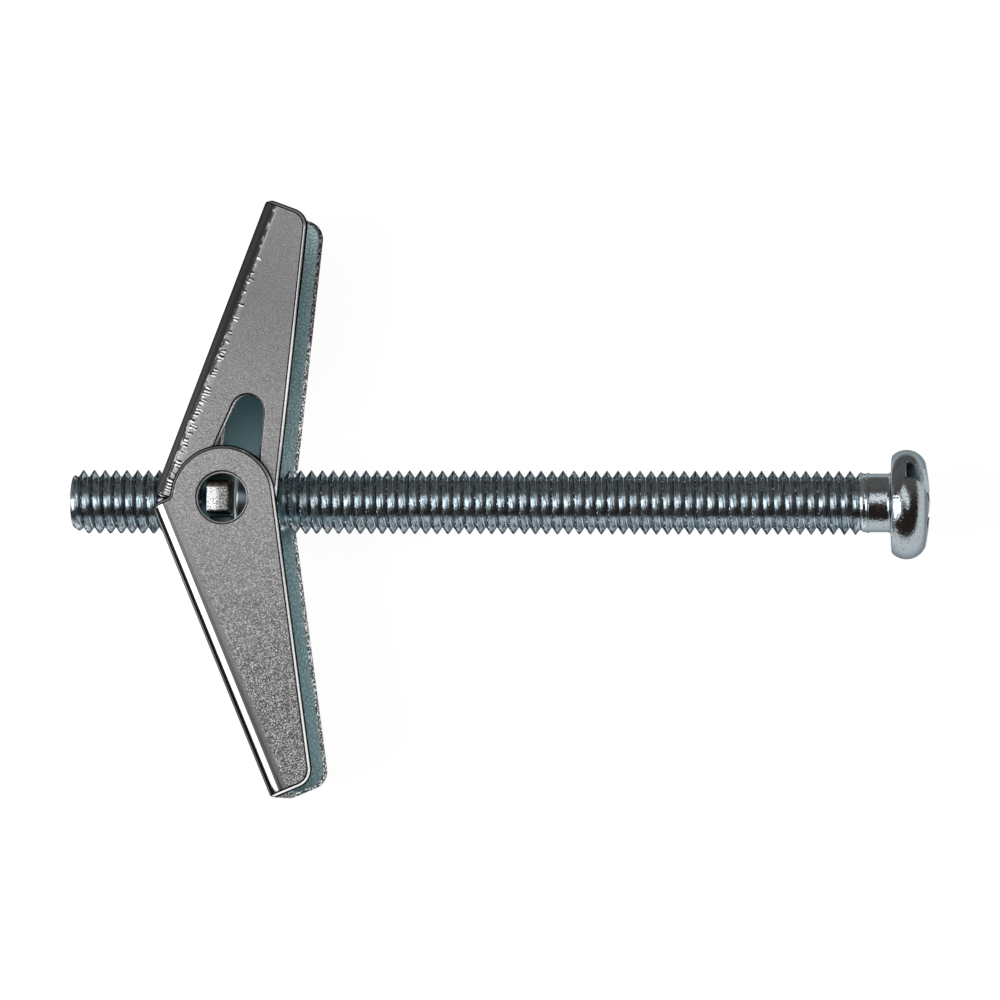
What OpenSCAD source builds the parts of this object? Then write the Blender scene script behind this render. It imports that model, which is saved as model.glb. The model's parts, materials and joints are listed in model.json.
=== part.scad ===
// Spring toggle bolt, lying on its side with both wings sprung open.
// The origin is where the screw's axis crosses the axis that both wings swing on.
// +X runs along the screw to its head, +Y to the upper wing, +Z up.

/* [Screw] */
// Diameter over the thread's crests
screw_d = 5.8; // [5:0.1:6.1]
// Length from under the head to the point end
screw_len = 74.6; // [60:0.1:100]
// Length of the tapered start of the thread
point_len = 0.8; // [0.4:0.1:1.4]
// Drop of the tapered start below the crests
point_drop = 0.55; // [0.3:0.05:0.8]
// Diameter of the plain neck under the head
neck_d = 5.3; // [4.6:0.1:5.8]
// Length of the neck, with its fillet
neck_len = 2.3; // [1.5:0.1:4]
// Length over which the thread runs out into the neck
runout_len = 0.5; // [0.2:0.1:1]
// Fillet between the neck and the head
neck_fillet_r = 0.4; // [0.2:0.05:0.6]

/* [Head] */
// Diameter of the pan head
head_d = 9.9; // [8.5:0.1:12]
// Height of the head
head_h = 3.45; // [3:0.05:4.2]
// Radius of the head's rounded rim
head_rim_r = 1.85; // [1.5:0.05:2]
// Radius of the head's low crown
head_crown_r = 19; // [14:1:40]
// Width of the driver slot
slot_w = 1.8; // [1.2:0.1:2.2]
// Depth of the driver slot
slot_depth = 2.05; // [1.4:0.05:2.4]
// Turn of the slot about the screw's axis, from upright
slot_turn = 37; // [0:1:180]
// Span of the cross recess at the crown
cross_span = 5.6; // [4:0.1:6.4]
// Span of the cross recess at its floor
cross_floor_span = 2.6; // [1.8:0.1:3.6]
// Width of an arm of the cross recess
cross_arm_w = 1.3; // [0.8:0.1:1.8]

/* [Nut] */
// Thickness of the strip that the nut is stamped from
nut_t = 2.1; // [1.6:0.1:2.4]
// Length of the nut's body across the screw, along the open wings
nut_len = 9; // [7.6:0.1:9.4]
// Width of the nut's body between its two lugs
nut_w = 7; // [6.8:0.1:7.2]
// Corner radius of the nut's body
nut_corner_r = 0.8; // [0.3:0.1:1.2]
// Height of a lug
lug_h = 2.6; // [1.8:0.1:2.8]
// Corner radius of a lug's section ends
lug_corner_r = 0.3; // [0.1:0.05:0.6]
// How far a lug's end lies below the wing's outer face
lug_recess = 0.35; // [0.1:0.05:0.9]
// Distance of the strip's middle from the wing axis, towards the point
nut_setback = 0.4; // [0:0.05:0.5]
// Outside diameter of the drawn collar that lengthens the thread
collar_d = 7; // [6.8:0.1:7.2]
// Length of the collar beyond the strip
collar_len = 2; // [1:0.1:2.6]

/* [Wings] */
// Thickness of the wing's sheet
sheet_t = 1.2; // [0.8:0.05:1.3]
// Outside width of a wing's channel
wing_w = 12; // [11.9:0.1:14]
// Outside radius of the channel's bends
bend_r = 1.5; // [1.4:0.05:2]
// Distance from the wing axis to the outer face of the channel's web
web_out = 6.3; // [6.2:0.05:7.5]
// Length from the wing axis to the tip
wing_len = 26.8; // [22:0.2:32]
// Depth of the channel at the tip
tip_depth = 4.2; // [3.2:0.1:5.6]
// Radius of the tip's free corner
tip_r = 1.7; // [0.6:0.1:2.4]
// Radius of the ears round the wing axis
ear_r = 4.8; // [4.4:0.05:4.85]
// Fillet between the ear and the stop horn
horn_fillet_r = 0.5; // [0.2:0.05:0.8]
// Diameter of the round hole in the outer ear
hole_d = 4.4; // [4.3:0.05:5]
// Diameter of the big end of the window in the inner ear
window_d = 5.4; // [5.3:0.1:6]
// Radius of the small end of the window
window_end_r = 1.4; // [1:0.1:1.8]
// Reach of the small end's middle along the wing
window_reach = 8.1; // [6.5:0.1:10]
// Drop of the small end's middle towards the web
window_drop = 0.83; // [0.4:0.01:1.2]
// Width of the notch that lets the screw through the web
notch_w = 7; // [6.4:0.1:7.6]
// Reach of the notch along the wing
notch_reach = 2; // [1.8:0.1:3]

/* [Opened pair] */
// Lean of an open wing from square to the screw
open_lean = 21.7; // [16:0.05:26]
// Rock of the opened pair on the nut
pair_rock = 1.2; // [-2:0.05:2]
// Side gap between the ears of the two wings
ear_gap = 0.1; // [0.08:0.01:0.3]
// Gap between the horns that stop the wings
stop_gap = 0.1; // [0.04:0.01:0.3]

/* [Spring] */
// Diameter of the spring wire
wire_d = 0.52; // [0.4:0.02:0.54]
// Inside diameter of the coil
coil_in_d = 3.7; // [3.65:0.05:3.9]
// Whole turns of the coil
coil_turns = 2; // [1:1:2]
// Distance of the coil's axis from the wing axis, towards the point
coil_setback = 0.2; // [0.1:0.02:0.3]
// Reach of the upper leg along the upper wing's web
upper_leg_reach = 9.5; // [7:0.1:14]
// Reach of the lower leg along the lower wing's window
lower_leg_reach = 7.8; // [5:0.1:8.2]

/* [Fits] */
// Distance from the wing axis to the underside of the head
grip_len = 60; // [45:0.5:70]
// Running clearance of the nut on the screw, on the radius
thread_clear = 0.05; // [0.03:0.01:0.1]
// Clearance round the spring's wire
wire_clear = 0.05; // [0.03:0.01:0.08]

/* [Hidden] */
$fn = 64;
// Overrun of every cut past the face that it opens
cut_over = 1;
// Steps of the swept wire
coil_steps = 24 * coil_turns;
leg_steps = 2;
wire_sides = 10;

screw_r = screw_d / 2;
neck_r = neck_d / 2;
head_r = head_d / 2;
point_x = grip_len - screw_len;
thread_end = screw_len - neck_len;
// The neck and its fillet run on into the head
core_end = screw_len + neck_fillet_r;
// The rim's circle meets the crown where its own top lies
rim_mid_r = head_r - head_rim_r;
rim_mid_h = head_h - head_crown_r + sqrt(pow(head_crown_r, 2) - pow(rim_mid_r, 2)) - head_rim_r;

// Each wing's channel is set over by half a sheet and half a gap, so that the ears lie side by side
side_step = (sheet_t + ear_gap) / 2;
half_w = wing_w / 2;
web_in = web_out - sheet_t;
outer_face = half_w + side_step;
upper_lean = open_lean - pair_rock;
lower_lean = open_lean + pair_rock;
// The horns end where the inner edges of both webs meet on the screw's axis
horn_end = -(web_in * sin(open_lean) - stop_gap / 2) / cos(open_lean);
// The free edge runs from the tip's corner as a tangent to the ear
tip_edge = tip_depth - web_out;
free_turn = atan2(tip_edge, wing_len) + acos(ear_r / norm([wing_len, tip_edge]));
free_way = [cos(free_turn), sin(free_turn)];
tip_mid_u = wing_len - tip_r;
tip_mid = [tip_mid_u, (ear_r - tip_r - tip_mid_u * free_way[0]) / free_way[1]];
// The fillet's middle lies off the horn's end and off the ear
fillet_mid_u = horn_end - horn_fillet_r;
fillet_mid = [fillet_mid_u, -sqrt(pow(ear_r + horn_fillet_r, 2) - pow(fillet_mid_u, 2))];
// The window's straight sides are tangents to its two ends
window_r = window_d / 2;
window_mid = [window_reach, -window_drop];
window_turn = atan2(-window_drop, window_reach);
window_spread = acos((window_r - window_end_r) / norm(window_mid));

nut_back = -nut_setback - nut_t / 2;
nut_front = nut_back + nut_t;
lug_reach = outer_face - lug_recess;

wire_r = wire_d / 2;
coil_r = coil_in_d / 2 + wire_r;
coil_mid = [-coil_setback, 0];
// The coil starts against the nut's shoulder, and each turn lies beside the last
coil_z = -nut_w / 2 - wire_clear - wire_r;
coil_pitch = wire_d + wire_clear / 2;
coil_end_z = coil_z - coil_turns * coil_pitch;

// A point of the open upper wing, from its own length and depth
function upper_place(u, v) =
    [u * sin(upper_lean) + v * cos(upper_lean), u * cos(upper_lean) - v * sin(upper_lean)];

// A point of the open lower wing, from its own length and depth
function lower_place(u, v) =
    [u * sin(lower_lean) + v * cos(lower_lean), v * sin(lower_lean) - u * cos(lower_lean)];

// Where the upper leg's end bears on the web, and the lower leg's end on the window's side
upper_leg_end = upper_place(upper_leg_reach, wire_r + wire_clear - web_in);
window_side = window_turn - window_spread;
lower_leg_depth = (window_r - wire_r - wire_clear - lower_leg_reach * cos(window_side)) / sin(window_side);
lower_leg_end = lower_place(lower_leg_reach, lower_leg_depth);

// A leg is a tangent from its end to the coil's side towards the point
function leg_way(end) = atan2(end[1] - coil_mid[1], end[0] - coil_mid[0]);
function leg_swing(end) = acos(coil_r / norm(end - coil_mid));
upper_turn = leg_way(upper_leg_end) + leg_swing(upper_leg_end);
lower_turn = leg_way(lower_leg_end) - leg_swing(lower_leg_end) + 360;
coil_sweep = 360 * coil_turns + lower_turn - upper_turn;

function on_coil(turn) = coil_mid + coil_r * [cos(turn), sin(turn)];
function along(a, b, share) = a + (b - a) * share;

// Each ring of the wire is its middle, its height and the way that its outer side faces
wire_path = concat(
    [for (i = [leg_steps:-1:1])
        [along(on_coil(upper_turn), upper_leg_end, i / leg_steps), coil_z, upper_turn]],
    [for (i = [0:coil_steps])
        let (share = i / coil_steps, turn = upper_turn + coil_sweep * share)
        [on_coil(turn), coil_z + (coil_end_z - coil_z) * share, turn]],
    [for (i = [1:leg_steps])
        [along(on_coil(lower_turn), lower_leg_end, i / leg_steps), coil_end_z, lower_turn]]
);

function wire_ring(step) =
    [for (i = [0:wire_sides - 1])
        let (way = 360 * i / wire_sides, out = wire_r * cos(way))
        [step[0][0] + out * cos(step[2]), step[0][1] + out * sin(step[2]), step[1] + wire_r * sin(way)]];

// Shank, neck and head in one turned and headed piece, with its slot and cross recess
module machine_screw()
{
    color("#b4bac0")
    translate([point_x, 0, 0])
    rotate([0, 90, 0])
    difference()
    {
        union()
        {
            rotate_extrude() shank_half();
            translate([0, 0, screw_len]) rotate_extrude() head_half();
        }
        translate([0, 0, screw_len + head_h]) rotate([0, 0, 180 - slot_turn]) driver_recess();
    }
}

// Half section of the shank, from the point end to the head
module shank_half()
{
    polygon([
        [0, 0],
        [screw_r - point_drop, 0],
        [screw_r, point_len],
        [screw_r, thread_end - runout_len],
        [neck_r, thread_end],
        [neck_r, core_end],
        [0, core_end]
    ]);
    difference()
    {
        translate([neck_r, screw_len - neck_fillet_r]) square([neck_fillet_r, 2 * neck_fillet_r]);
        translate([neck_r + neck_fillet_r, screw_len - neck_fillet_r]) circle(neck_fillet_r);
    }
}

// Half section of the pan head, with a round rim under a low crown
module head_half()
{
    intersection()
    {
        union()
        {
            square([rim_mid_r, head_h]);
            translate([rim_mid_r, rim_mid_h]) circle(head_rim_r);
        }
        square([head_r, head_h]);
        translate([0, head_h - head_crown_r]) circle(head_crown_r, $fn = 4 * $fn);
    }
}

// A slot across the whole head, crossed by a shorter tapered arm
module driver_recess()
{
    translate([-head_d, -slot_w / 2, -slot_depth]) cube([2 * head_d, slot_w, slot_depth + cut_over]);
    rotate([90, 0, 90])
    translate([0, 0, -cross_arm_w / 2])
    linear_extrude(cross_arm_w)
    polygon([
        [-cross_floor_span / 2, -slot_depth],
        [cross_floor_span / 2, -slot_depth],
        [cross_span / 2, 0],
        [cross_span / 2, cut_over],
        [-cross_span / 2, cut_over],
        [-cross_span / 2, 0]
    ]);
}

// A strip nut with a lug at each side and a drawn collar
module trunnion_nut()
{
    color("#8f9a98")
    difference()
    {
        union()
        {
            translate([nut_back, 0, 0]) rotate([90, 0, 90]) linear_extrude(nut_t) nut_outline();
            translate([nut_front, 0, 0]) rotate([0, 90, 0]) cylinder(h = collar_len, d = collar_d);
        }
        translate([nut_back - cut_over, 0, 0])
        rotate([0, 90, 0])
        cylinder(h = nut_t + collar_len + 2 * cut_over, r = screw_r + thread_clear);
    }
}

module nut_outline()
{
    rounded_plate([nut_len, nut_w], nut_corner_r);
    rounded_plate([lug_h, 2 * lug_reach], lug_corner_r);
}

// A plate about the origin with round corners
module rounded_plate(size, corner_r)
{
    square([size[0] - 2 * corner_r, size[1]], center = true);
    square([size[0], size[1] - 2 * corner_r], center = true);
    for (sx = [-1, 1], sy = [-1, 1])
        translate([sx * (size[0] / 2 - corner_r), sy * (size[1] / 2 - corner_r)]) circle(corner_r);
}

// One wire wound round the nut's far lug, with a straight leg for each wing
module torsion_spring()
{
    rings = len(wire_path);
    points = [for (step = wire_path) each wire_ring(step)];
    sides = [for (r = [0:rings - 2], i = [0:wire_sides - 1])
        let (j = (i + 1) % wire_sides, a = r * wire_sides)
        [a + i, a + j, a + wire_sides + j, a + wire_sides + i]];
    first = [for (i = [wire_sides - 1:-1:0]) i];
    last = [for (i = [0:wire_sides - 1]) (rings - 1) * wire_sides + i];
    color("#c8ccc6") polyhedron(points, concat([first], sides, [last]), convexity = 6);
}

// A wing lies along X, with its depth along Y and its outer ear towards +Z
module wing()
{
    difference()
    {
        intersection()
        {
            translate([horn_end, 0, 0])
            rotate([90, 0, 90])
            linear_extrude(wing_len - horn_end + cut_over)
            channel_section();
            translate([0, 0, -outer_face]) linear_extrude(2 * outer_face) flange_outline();
        }
        cylinder(h = outer_face + cut_over, d = hole_d);
        translate([0, 0, -outer_face]) linear_extrude(outer_face) window_outline();
        web_notch();
    }
}

// The folded sheet seen from its end: a web with a flange at each side
module channel_section()
{
    difference()
    {
        channel_block(0);
        channel_block(sheet_t);
    }
}

// The channel's outside, or its inside where it is inset by the sheet
module channel_block(inset)
{
    corner_r = bend_r - inset;
    reach = web_out - bend_r + ear_r + cut_over + inset;
    side = half_w - inset;
    translate([0, side_step])
    {
        translate([bend_r - web_out, -side]) square([reach, 2 * side]);
        translate([inset - web_out, corner_r - side]) square([bend_r - inset, 2 * (side - corner_r)]);
        for (s = [-1, 1])
            translate([bend_r - web_out, s * (side - corner_r)]) circle(corner_r);
    }
}

// A flange seen from the side: ear, straight free edge, round tip corner and stop horn
module flange_outline()
{
    polygon([
        [horn_end, -web_out],
        [wing_len, -web_out],
        [wing_len, tip_mid[1]],
        tip_mid + tip_r * free_way,
        ear_r * free_way,
        [horn_end, 0]
    ]);
    circle(ear_r);
    translate(tip_mid) circle(tip_r);
    difference()
    {
        polygon([
            [horn_end, fillet_mid[1]],
            [0, 0],
            fillet_mid * ear_r / (ear_r + horn_fillet_r)
        ]);
        translate(fillet_mid) circle(horn_fillet_r);
    }
}

// A tapered opening that clears the coil and gives one leg its track
module window_outline()
{
    circle(window_r);
    translate(window_mid) circle(window_end_r);
    low = window_turn - window_spread;
    high = window_turn + window_spread;
    polygon([
        window_r * [cos(low), sin(low)],
        window_mid + window_end_r * [cos(low), sin(low)],
        window_mid + window_end_r * [cos(high), sin(high)],
        window_r * [cos(high), sin(high)]
    ]);
}

// The slot with a round end that the screw passes through in the web
module web_notch()
{
    notch_r = notch_w / 2;
    straight = notch_reach - notch_r - horn_end + cut_over;
    translate([notch_reach - notch_r, -web_in, 0])
    rotate([90, 0, 0])
    {
        translate([0, 0, -bend_r]) cylinder(h = sheet_t + bend_r + cut_over, r = notch_r);
        translate([-straight, -notch_r, -bend_r]) cube([straight, notch_w, sheet_t + bend_r + cut_over]);
    }
}

module upper_wing()
{
    color("#9a9b96") rotate([0, 0, 90 - upper_lean]) rotate([180, 0, 0]) wing();
}

module lower_wing()
{
    color("#a3a49f") rotate([0, 0, lower_lean - 90]) wing();
}

machine_screw();
trunnion_nut();
torsion_spring();
upper_wing();
lower_wing();
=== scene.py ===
import json
import math
import bmesh
import bpy
import numpy as np
from mathutils import Matrix, Vector


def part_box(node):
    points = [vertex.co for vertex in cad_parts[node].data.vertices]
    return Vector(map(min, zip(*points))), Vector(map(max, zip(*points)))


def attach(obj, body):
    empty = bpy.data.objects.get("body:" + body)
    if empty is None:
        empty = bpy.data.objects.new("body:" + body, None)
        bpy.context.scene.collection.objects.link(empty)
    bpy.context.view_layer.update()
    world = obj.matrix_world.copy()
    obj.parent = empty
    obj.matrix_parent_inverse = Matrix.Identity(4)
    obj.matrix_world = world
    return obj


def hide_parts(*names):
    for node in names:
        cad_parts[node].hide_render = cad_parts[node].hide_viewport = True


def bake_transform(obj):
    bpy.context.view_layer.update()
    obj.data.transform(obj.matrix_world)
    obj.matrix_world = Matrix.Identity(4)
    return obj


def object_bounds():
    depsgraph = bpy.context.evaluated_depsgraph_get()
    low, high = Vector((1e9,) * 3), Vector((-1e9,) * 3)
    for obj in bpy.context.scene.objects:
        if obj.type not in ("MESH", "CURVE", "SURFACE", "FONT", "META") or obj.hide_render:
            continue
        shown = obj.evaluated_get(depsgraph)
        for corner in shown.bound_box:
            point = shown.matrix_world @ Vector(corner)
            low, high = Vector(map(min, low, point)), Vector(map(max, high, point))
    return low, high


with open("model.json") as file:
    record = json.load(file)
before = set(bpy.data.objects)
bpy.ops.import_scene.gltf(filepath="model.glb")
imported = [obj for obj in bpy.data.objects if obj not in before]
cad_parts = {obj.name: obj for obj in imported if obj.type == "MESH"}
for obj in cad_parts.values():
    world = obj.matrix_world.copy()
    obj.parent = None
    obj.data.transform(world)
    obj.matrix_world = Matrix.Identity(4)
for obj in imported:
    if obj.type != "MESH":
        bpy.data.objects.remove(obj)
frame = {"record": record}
cad_low, cad_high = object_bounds()

# Machine screw: a steel wire headed cold and thread-rolled in one piece, then bright zinc plated.
# Rolling pushes the crests up past the plain neck, and the slot and cross are punched in the head.
MM = 0.001
merge_dist = 1e-4 * MM
touch_dist = 1e-3 * MM
sharp_turn = math.radians(50)

point_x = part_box("machine_screw")[0].x
mounts = {mount["name"]: mount for mount in frame["record"]["mounts"]}
underhead_x = mounts["head_bearing"]["pos_m"][0]
head_h = 3.45 * MM
head_r = 4.95 * MM
crown_x = underhead_x + head_h
# Cold heading left the head a little off the shank's middle
head_drop = 0.15 * MM

thread_pitch = 1.0 * MM
thread_depth = 0.64 * MM
thread_turn_share = 0.15
crest_r = 2.9 * MM
point_r = 2.35 * MM
point_len = 0.8 * MM
neck_r = 2.65 * MM
neck_len = 2.3 * MM
runout_len = 0.9 * MM
ridge_h = 0.085 * MM
ridge_w = 0.3 * MM
thread_end_x = underhead_x - neck_len
screw_sides = 64
# Half a rolled thread, from the middle of its crest to the middle of its root
crest_to_root_shares = (0, 0.035, 0.08, 0.25, 0.41, 0.465, 0.5)
thread_height_shares = (1, 0.965, 0.86, 0.48, 0.12, 0.025, 0)


def screw_radius(x, turn_share):
    """Radius of the rolled thread at a place along the screw and a share of a turn round it."""
    phase = (x - point_x) / thread_pitch - turn_share + thread_turn_share
    from_crest = np.abs((phase + 0.5) % 1 - 0.5)
    height = np.interp(from_crest, crest_to_root_shares, thread_height_shares)
    start = point_r + (crest_r - point_r) * np.clip((x - point_x) / point_len, 0, 1)
    rolled = np.minimum(crest_r - thread_depth * (1 - height), start)
    left = np.clip((thread_end_x - x) / runout_len, 0, 1)
    return neck_r + (rolled - neck_r) * left * left * (3 - 2 * left)


def add_thread(bm):
    """The threaded shank as one helical strip of faces, cut square at both ends."""
    half = np.array(crest_to_root_shares)
    places = np.concatenate([half, 1 - half[-2:0:-1]])
    # The spare turns are clipped off at the two ends
    spare_turns = 3
    turns = math.ceil((thread_end_x - point_x) / thread_pitch) + spare_turns
    steps = (np.arange(-1, turns - 1)[:, None] + places).ravel() - thread_turn_share
    shares = np.arange(screw_sides) / screw_sides
    x = point_x + thread_pitch * (steps[:, None] + shares)
    x = np.clip(x, point_x, thread_end_x)
    r = screw_radius(x, shares)
    angle = 2 * math.pi * shares
    points = np.stack([x, r * np.cos(angle), r * np.sin(angle)], axis=-1)
    verts = [[bm.verts.new(p) for p in row] for row in points]
    for k in range(len(verts) - len(places) - 1):
        for i in range(screw_sides):
            # Past the last side the strip runs on into its own next turn
            j, step = (i + 1, 0) if i + 1 < screw_sides else (0, len(places))
            corners = (verts[k][i], verts[k + 1][i], verts[k + 1 + step][j], verts[k + step][j])
            bm.faces.new(corners).smooth = True
    used = {v for f in bm.faces for v in f.verts}
    bmesh.ops.delete(bm, geom=[v for v in bm.verts if v not in used], context="VERTS")
    bmesh.ops.remove_doubles(bm, verts=bm.verts, dist=merge_dist)
    bmesh.ops.dissolve_degenerate(bm, edges=bm.edges, dist=merge_dist)


def arc(middle, radius, first, last, steps):
    """Points along an arc, with its angles in degrees."""
    turns = np.radians(np.linspace(first, last, steps + 1))
    return [(middle[0] + radius * math.cos(t), middle[1] + radius * math.sin(t)) for t in turns]


def head_profile():
    """Half sections of the neck and of the pan head, as (distance from the head's underside, radius)."""
    fillet_r = 0.4 * MM
    edge_r = 0.4 * MM
    rim_r = 1.85 * MM
    rim_end_turn = 20
    crown_r = 19 * MM
    rim_mid_r = head_r - rim_r
    rim_mid_h = head_h - crown_r + math.sqrt(crown_r ** 2 - rim_mid_r ** 2) - rim_r
    edge_mid_r = rim_mid_r + math.sqrt((rim_r - edge_r) ** 2 - (rim_mid_h - edge_r) ** 2)
    edge_turn = math.degrees(math.atan2(edge_mid_r - rim_mid_r, edge_r - rim_mid_h))
    rim_end_r = rim_mid_r + rim_r * math.sin(math.radians(rim_end_turn))
    crown_turn = math.degrees(math.asin(rim_end_r / crown_r))
    # The rolling dies leave a low ridge where the thread runs out
    ridge_mid = 0.6 * ridge_w - neck_len
    neck = [(-neck_len, neck_r)]
    for share in np.linspace(1, 0, 7):
        neck.append((ridge_mid + ridge_w * (0.5 - share), neck_r + ridge_h * math.sin(math.pi * share)))
    # A ring at each end keeps the shading of the plain neck straight
    neck += [(1.4 * ridge_w - neck_len, neck_r), (-1.25 * fillet_r, neck_r)]
    fillet = arc((-fillet_r, neck_r + fillet_r), fillet_r, -90, 0, 6)
    edge = arc((edge_r, edge_mid_r), edge_r, 180, edge_turn, 5)
    rim = arc((rim_mid_h, rim_mid_r), rim_r, edge_turn, rim_end_turn, 22)[1:]
    crown = arc((head_h - crown_r, 0), crown_r, crown_turn, 0, 9)[1:]
    return neck + fillet, edge + rim + crown


def add_lathe(bm, profile, sides):
    """Turns a profile of (x, radius) points round the screw's axis; a last radius of zero closes it."""
    rings = []
    for x, r in profile:
        if r < touch_dist:
            rings.append([bm.verts.new((x, 0, 0))] * sides)
        else:
            turns = [2 * math.pi * i / sides for i in range(sides)]
            rings.append([bm.verts.new((x, r * math.cos(t), r * math.sin(t))) for t in turns])
    for a, b in zip(rings, rings[1:]):
        for i in range(sides):
            j = (i + 1) % sides
            corners = dict.fromkeys((a[i], b[i], b[j], a[j]))
            bm.faces.new(tuple(corners)).smooth = True
    return rings


def new_piece(name, bm):
    """A shown object in the shared frame, from a bmesh that is then freed."""
    bmesh.ops.recalc_face_normals(bm, faces=bm.faces)
    mesh = bpy.data.meshes.new(name)
    bm.to_mesh(mesh)
    bm.free()
    piece = bpy.data.objects.new(name, mesh)
    bpy.context.scene.collection.objects.link(piece)
    return piece


def recess_tool(name, outline, span_way, width, width_way):
    """A punch for the head: an outline of (place along its span, x), with a width square to it."""
    bm = bmesh.new()
    layers = []
    for side in (-0.5, 0.5):
        offset = Vector(width_way) * width * side
        places = [Vector(span_way) * s + offset + Vector((x, -head_drop, 0)) for s, x in outline]
        layers.append([bm.verts.new(place) for place in places])
    count = len(outline)
    bm.faces.new(layers[0][::-1])
    bm.faces.new(layers[1])
    for i in range(count):
        j = (i + 1) % count
        bm.faces.new((layers[0][i], layers[0][j], layers[1][j], layers[1][i]))
    for face in bm.faces:
        face.material_index = 1
    return new_piece(name, bm)


def combine(piece, other, operation):
    """Cuts the other's volume out of the piece or joins it on, and deletes the other."""
    modifier = piece.modifiers.new("combine", "BOOLEAN")
    modifier.operation = operation
    modifier.solver = "EXACT"
    modifier.object = other
    bpy.context.view_layer.update()
    seen = piece.evaluated_get(bpy.context.evaluated_depsgraph_get())
    mesh = bpy.data.meshes.new_from_object(seen)
    piece.modifiers.clear()
    piece.data = mesh
    bpy.data.objects.remove(other)


slot_w = 1.8 * MM
slot_depth = 2.05 * MM
slot_turn = math.radians(37)
slot_edge_r = 0.1 * MM
cross_arm_w = 1.3 * MM
cross_span = 5.6 * MM
cross_floor_span = 2.6 * MM
punch_overrun = 1 * MM
slot_way = (0, math.sin(slot_turn), math.cos(slot_turn))
cross_way = (0, math.cos(slot_turn), -math.sin(slot_turn))
slot_half = head_r + punch_overrun
recess_floor_x = crown_x - slot_depth
recess_top_x = crown_x + punch_overrun

head_bm = bmesh.new()
neck_part, pan_part = head_profile()
head_rings = add_lathe(head_bm, [(underhead_x + x, r) for x, r in neck_part + pan_part], screw_sides)
# The cuts need a closed solid, and the thread goes on here once this face is deleted
head_bm.faces.new(head_rings[0])
for vert in {vert for ring in head_rings[len(neck_part):] for vert in ring}:
    vert.co.y -= head_drop
head = new_piece("head", head_bm)
# Two empty slots keep the punches' mark on the faces that they cut
head.data.materials.append(None)
head.data.materials.append(None)
combine(head, recess_tool("slot_punch", [
    (-slot_half, recess_floor_x), (slot_half, recess_floor_x),
    (slot_half, recess_top_x), (-slot_half, recess_top_x),
], slot_way, slot_w, cross_way), "DIFFERENCE")
combine(head, recess_tool("cross_punch", [
    (-cross_floor_span / 2, recess_floor_x), (cross_floor_span / 2, recess_floor_x),
    (cross_span / 2, crown_x), (cross_span / 2, recess_top_x),
    (-cross_span / 2, recess_top_x), (-cross_span / 2, crown_x),
], cross_way, cross_arm_w, slot_way), "DIFFERENCE")

screw_bm = bmesh.new()
screw_bm.from_mesh(head.data)
bpy.data.objects.remove(head)
mouth = [e for e in screw_bm.edges if len(e.link_faces) == 2
         and e.link_faces[0].material_index != e.link_faces[1].material_index]
bmesh.ops.bevel(screw_bm, geom=mouth, offset=slot_edge_r, segments=2, profile=0.5, affect="EDGES",
                clamp_overlap=False)
caps = [f for f in screw_bm.faces if all(abs(v.co.x - thread_end_x) < touch_dist for v in f.verts)]
bmesh.ops.delete(screw_bm, geom=caps, context="FACES")
for face in screw_bm.faces:
    face.material_index = 0
add_thread(screw_bm)
point_edges = [e for e in screw_bm.edges if e.is_boundary
               and all(abs(v.co.x - point_x) < touch_dist for v in e.verts)]
bmesh.ops.contextual_create(screw_bm, geom=point_edges)
screw = new_piece("screw", screw_bm)
screw.data.set_sharp_from_angle(angle=sharp_turn)


def add_node(tree, kind, inputs=(), **settings):
    """A shader node, its settings, and its inputs by name or number: a value, or an output to link."""
    made = tree.nodes.new("ShaderNode" + kind)
    for name, value in settings.items():
        setattr(made, name, value)
    for key, value in dict(inputs).items():
        if isinstance(value, bpy.types.NodeSocket):
            tree.links.new(value, made.inputs[key])
        else:
            made.inputs[key].default_value = value
    return made


def fine_noise(tree, place, size, detail):
    """Noise whose grains are about that size across."""
    return add_node(tree, "TexNoise", {"Vector": place, "Scale": 1 / size, "Detail": detail}).outputs["Fac"]


def in_range(tree, value, low, high, to_low=0.0, to_high=1.0):
    """A value moved from one range to another, and held at its ends."""
    return add_node(tree, "MapRange", {
        "Value": value, "From Min": low, "From Max": high, "To Min": to_low, "To Max": to_high,
    }).outputs["Result"]


def math_of(tree, operation, *values):
    return add_node(tree, "Math", dict(enumerate(values)), operation=operation).outputs[0]


def times(tree, first, second):
    return math_of(tree, "MULTIPLY", first, second)


def plus(tree, first, second):
    return math_of(tree, "ADD", first, second)


def minus(tree, first, second):
    return math_of(tree, "SUBTRACT", first, second)


def mixed_value(tree, share, first, second):
    return add_node(tree, "Mix", {0: share, 2: first, 3: second}).outputs[0]


def mixed(tree, share, first, second):
    return add_node(tree, "Mix", {0: share, 6: first, 7: second}, data_type="RGBA").outputs[2]


def plated_steel(name, edge_tint):
    """A plated metal with no colour yet: its node tree, its shader and its place on the piece.
    The tint is what its colour falls to where it turns away."""
    material = bpy.data.materials.new(name)
    material.use_nodes = True
    tree = material.node_tree
    tree.nodes.clear()
    shader = add_node(tree, "BsdfPrincipled", {"Metallic": 1.0, "Specular Tint": edge_tint})
    add_node(tree, "OutputMaterial", {"Surface": shader.outputs[0]})
    place = add_node(tree, "TexCoord").outputs["Object"]
    return material, tree, shader, place


def dented(tree, shader, height, depth):
    """Bumps a shader by a height from 0 to 1 that stands for that depth."""
    bump = add_node(tree, "Bump", {"Height": height, "Distance": depth, "Strength": 1.0})
    tree.links.new(bump.outputs[0], shader.inputs["Normal"])


screw_cloud_w = 0.6 * MM
screw_dent = 0.04 * MM


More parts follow.
